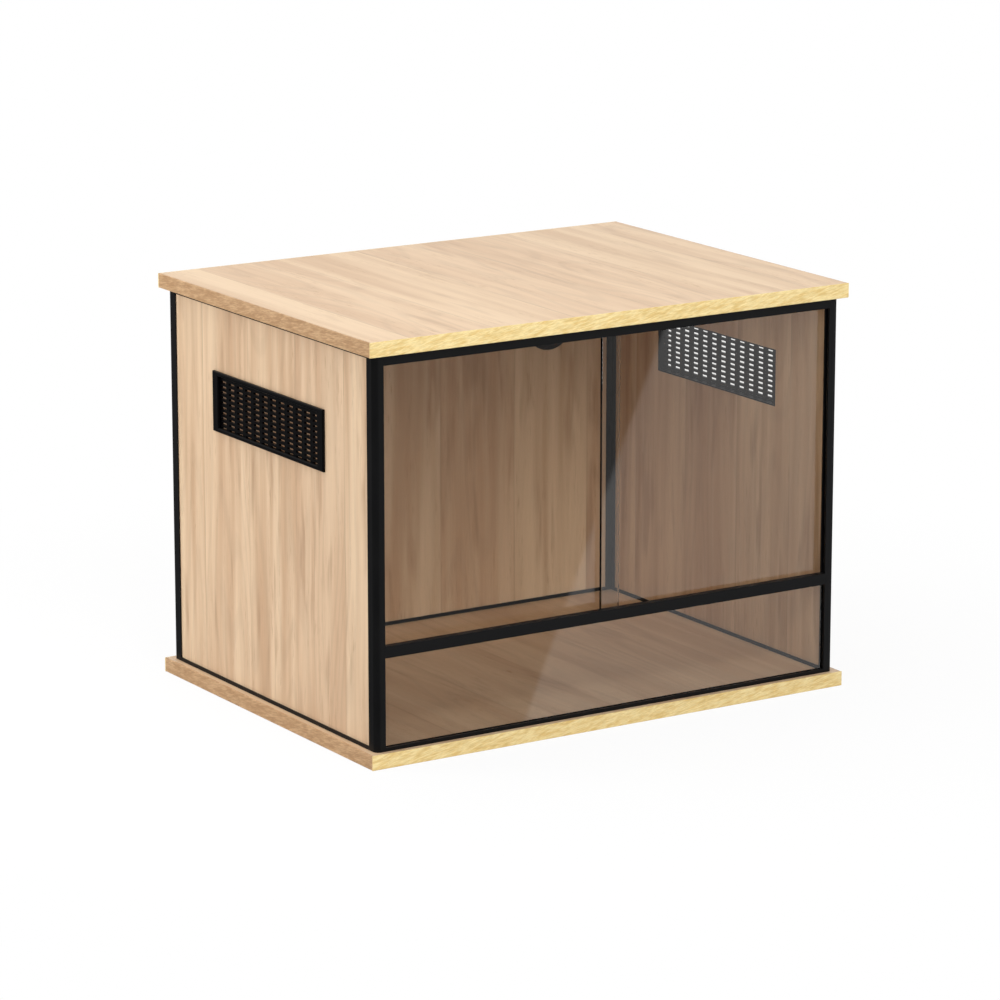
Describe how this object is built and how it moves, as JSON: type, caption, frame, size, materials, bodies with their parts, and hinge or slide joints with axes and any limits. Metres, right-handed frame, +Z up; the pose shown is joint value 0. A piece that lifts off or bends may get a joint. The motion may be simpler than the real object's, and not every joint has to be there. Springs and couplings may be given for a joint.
{
  "type": "terrarium cabinet",
  "caption": "Front-opening terrarium cabinet with wood-look boards and panels, a black channel frame, sliding glass doors, slotted side vents and a rear cable port.",
  "frame": {"origin": "on the underside of the base board, under the middle of the cabinet", "axes": "+X to the right as seen from the front, +Y to the rear, +Z up"},
  "size_m": [0.6, 0.45, 0.45],
  "materials": {
    "wood_laminate": "wood-look laminate, light oak, satin",
    "front_edge_band": "yellowish wood-look edge band, satin",
    "side_edge_band": "tan wood-look edge band, satin",
    "black_frame": "satin black coating",
    "black_plastic": "moulded, fine satin",
    "glass": "clear with a faint warm grey tint, polished edges",
    "steel": "zinc plated"
  },
  "bodies": {
    "root": {"back_panel": "wood_laminate", "base_band_front": "front_edge_band", "base_band_left": "side_edge_band", "base_band_rear": "front_edge_band", "base_band_right": "side_edge_band", "base_board": "wood_laminate", "base_screw_1": "steel", "base_screw_2": "steel", "base_screw_3": "steel", "base_screw_4": "steel", "bottom_rail_front": "black_frame", "bottom_rail_left": "black_frame", "bottom_rail_rear": "black_frame", "bottom_rail_right": "black_frame", "bottom_rail_screw_1": "steel", "bottom_rail_screw_2": "steel", "bottom_rail_screw_3": "steel", "bottom_rail_screw_4": "steel", "bottom_rail_screw_5": "steel", "bottom_rail_screw_6": "steel", "cable_port_ring": "black_plastic", "door_track_screw_1": "steel", "door_track_screw_2": "steel", "front_post_left": "black_frame", "front_post_right": "black_frame", "lower_door_track": "black_frame", "lower_glass": "glass", "middle_rail": "black_frame", "rear_post_left": "black_frame", "rear_post_right": "black_frame", "side_panel_left": "wood_laminate", "side_panel_right": "wood_laminate", "top_band_front": "front_edge_band", "top_band_left": "side_edge_band", "top_band_rear": "front_edge_band", "top_band_right": "side_edge_band", "top_board": "wood_laminate", "top_dowel_1": "steel", "top_dowel_2": "steel", "top_dowel_3": "steel", "top_dowel_4": "steel", "top_rail_front": "black_frame", "top_rail_left": "black_frame", "top_rail_rear": "black_frame", "top_rail_right": "black_frame", "top_rail_screw_1": "steel", "top_rail_screw_2": "steel", "top_rail_screw_3": "steel", "top_rail_screw_4": "steel", "top_rail_screw_5": "steel", "top_rail_screw_6": "steel", "upper_door_track": "black_frame", "vent_bezel_left": "black_plastic", "vent_bezel_right": "black_plastic", "vent_grille_left": "black_plastic", "vent_grille_right": "black_plastic"},
    "left_door": {"left_door": "glass"},
    "right_door": {"right_door": "glass"},
    "cable_port_cover": {"cable_port_cover": "black_plastic"}
  },
  "joints": [
    {"name": "left_door_slide", "type": "slide", "parent": "root", "child": "left_door", "axis": [1, 0, 0], "range_m": [0, 0.263]},
    {"name": "right_door_slide", "type": "slide", "parent": "root", "child": "right_door", "axis": [1, 0, 0], "range_m": [-0.276, 0]},
    {"name": "cable_cover_turn", "type": "hinge", "parent": "root", "child": "cable_port_cover", "pos_m": [0.197, 0.2085, 0.344], "axis": [0, 1, 0], "continuous": true}
  ]
}
